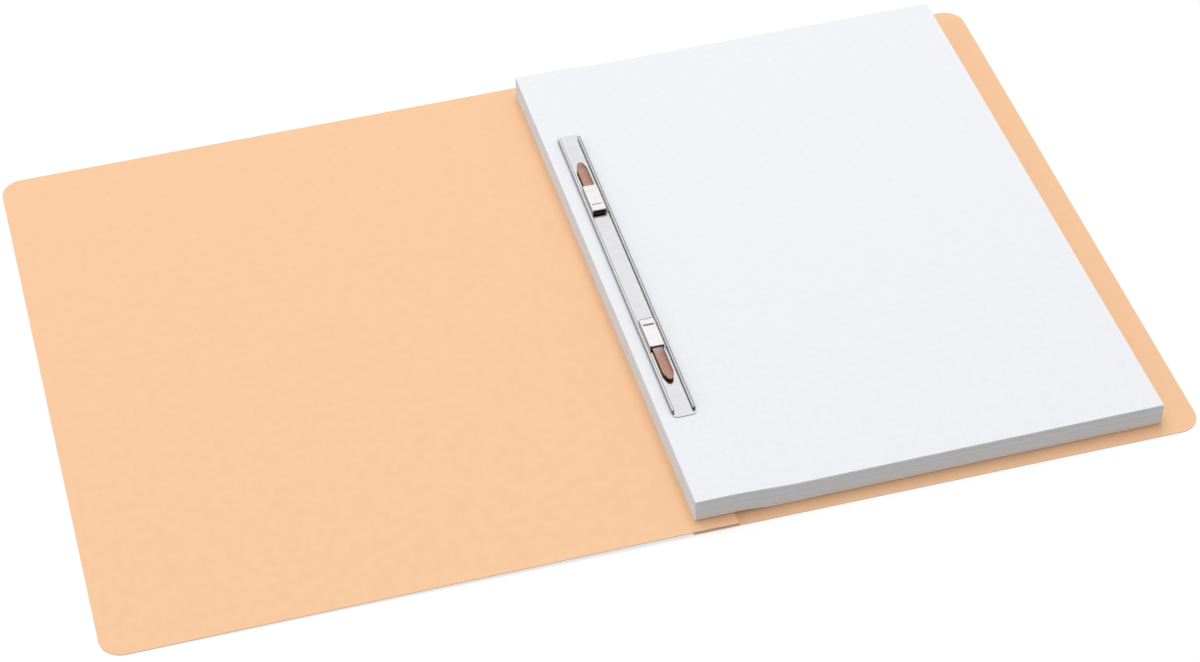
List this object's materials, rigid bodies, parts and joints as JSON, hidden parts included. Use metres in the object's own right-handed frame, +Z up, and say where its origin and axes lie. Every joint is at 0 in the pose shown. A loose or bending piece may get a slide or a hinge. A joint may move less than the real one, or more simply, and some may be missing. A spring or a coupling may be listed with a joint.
{
  "type": "fastener folder",
  "caption": "Open card folder with a pleated filing strip, a stack of A4 sheets and a flat prong fastener with a compressor bar and sliding keepers.",
  "frame": {"origin": "on the table under the back cover, midway between the two filing holes", "axes": "+X across the open folder towards the paper's free edge, +Y along the spine away from the reader, +Z up"},
  "size_m": [0.478, 0.309, 0.0159],
  "materials": {
    "card": "uncoated manila card",
    "adhesive": "dried glue",
    "plated_steel": "bright nickel plate",
    "lacquered_strip": "copper-brown lacquered metal",
    "paper": "white copy paper"
  },
  "bodies": {
    "back": {"back_cover": "card", "pleat_return": "card", "filing_flap": "card", "glue_lines": "adhesive", "prong_strip": "lacquered_strip", "compressor_bar": "plated_steel", "paper_block": "paper"},
    "spine": {"spine_panel": "card"},
    "front": {"front_cover": "card"},
    "far_keeper": {"far_slide": "plated_steel"},
    "near_keeper": {"near_slide": "plated_steel"},
    "top_leaf": {"top_sheet": "paper"},
    "second_leaf": {"second_sheet": "paper"},
    "third_leaf": {"third_sheet": "paper"}
  },
  "joints": [
    {"name": "spine_fold", "type": "hinge", "parent": "back", "child": "spine", "pos_m": [-0.013, 0, 0.0016], "axis": [0, 1, 0], "range_deg": [0, 90]},
    {"name": "cover_fold", "type": "hinge", "parent": "spine", "child": "front", "pos_m": [-0.033, 0, 0.00149], "axis": [0, 1, 0], "range_deg": [0, 90]},
    {"name": "far_slide_travel", "type": "slide", "parent": "back", "child": "far_keeper", "axis": [0, 1, 0], "range_m": [-0.039, 0.036]},
    {"name": "near_slide_travel", "type": "slide", "parent": "back", "child": "near_keeper", "axis": [0, 1, 0], "range_m": [-0.0395, 0.0355]},
    {"name": "sheet_turn", "type": "hinge", "parent": "back", "child": "top_leaf", "pos_m": [0.012, 0.00007, 0.0127], "axis": [-0.0061, 1, 0], "range_deg": [-150, 0]},
    {"name": "second_sheet_turn", "type": "hinge", "parent": "back", "child": "second_leaf", "pos_m": [0.0125, 0.00008, 0.01257], "axis": [-0.0061, 1, 0], "range_deg": [-138, 0]},
    {"name": "third_sheet_turn", "type": "hinge", "parent": "back", "child": "third_leaf", "pos_m": [0.013, 0.00008, 0.01245], "axis": [-0.0061, 1, 0], "range_deg": [-126, 0]}
  ],
  "couplings": [
    {"joint": "second_sheet_turn", "follows": "sheet_turn", "ratio": 0.92},
    {"joint": "third_sheet_turn", "follows": "sheet_turn", "ratio": 0.84}
  ]
}
